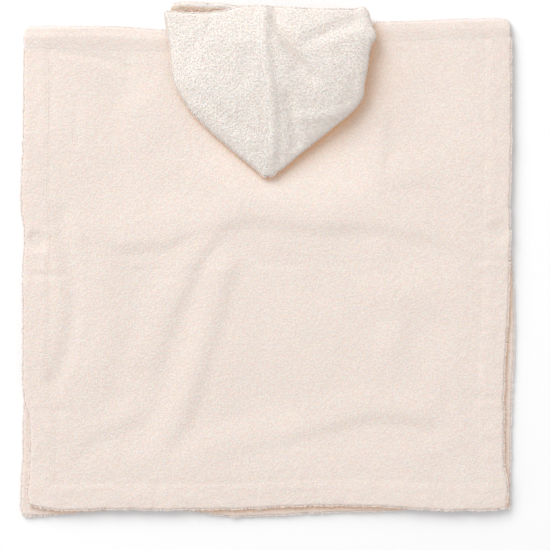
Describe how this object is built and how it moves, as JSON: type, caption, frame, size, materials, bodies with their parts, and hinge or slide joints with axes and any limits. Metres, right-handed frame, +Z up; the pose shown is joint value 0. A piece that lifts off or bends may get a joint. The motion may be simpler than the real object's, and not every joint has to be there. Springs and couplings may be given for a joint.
{
  "type": "hooded bath poncho",
  "caption": "Small child's hooded poncho towel in terry cloth, laid flat face down with the hood dropped on its back.",
  "frame": {"origin": "on the surface that it lies on, below the middle of the laid-out garment", "axes": "+Z up from the surface, +Y towards the shoulders and the hood's mouth, +X to the right as its back is seen"},
  "size_m": [0.6154, 0.6392, 0.0427],
  "materials": {
    "terry": "looped pile, matt",
    "hood_terry": "looped pile, matt",
    "stud_resin": "moulded, satin"
  },
  "bodies": {
    "root": {"front_panel": "terry", "back_panel": "terry", "hood_left": "hood_terry", "hood_right": "hood_terry", "stud_back_left": "stud_resin", "stud_front_left": "stud_resin", "stud_back_right": "stud_resin", "stud_front_right": "stud_resin"}
  },
  "joints": []
}
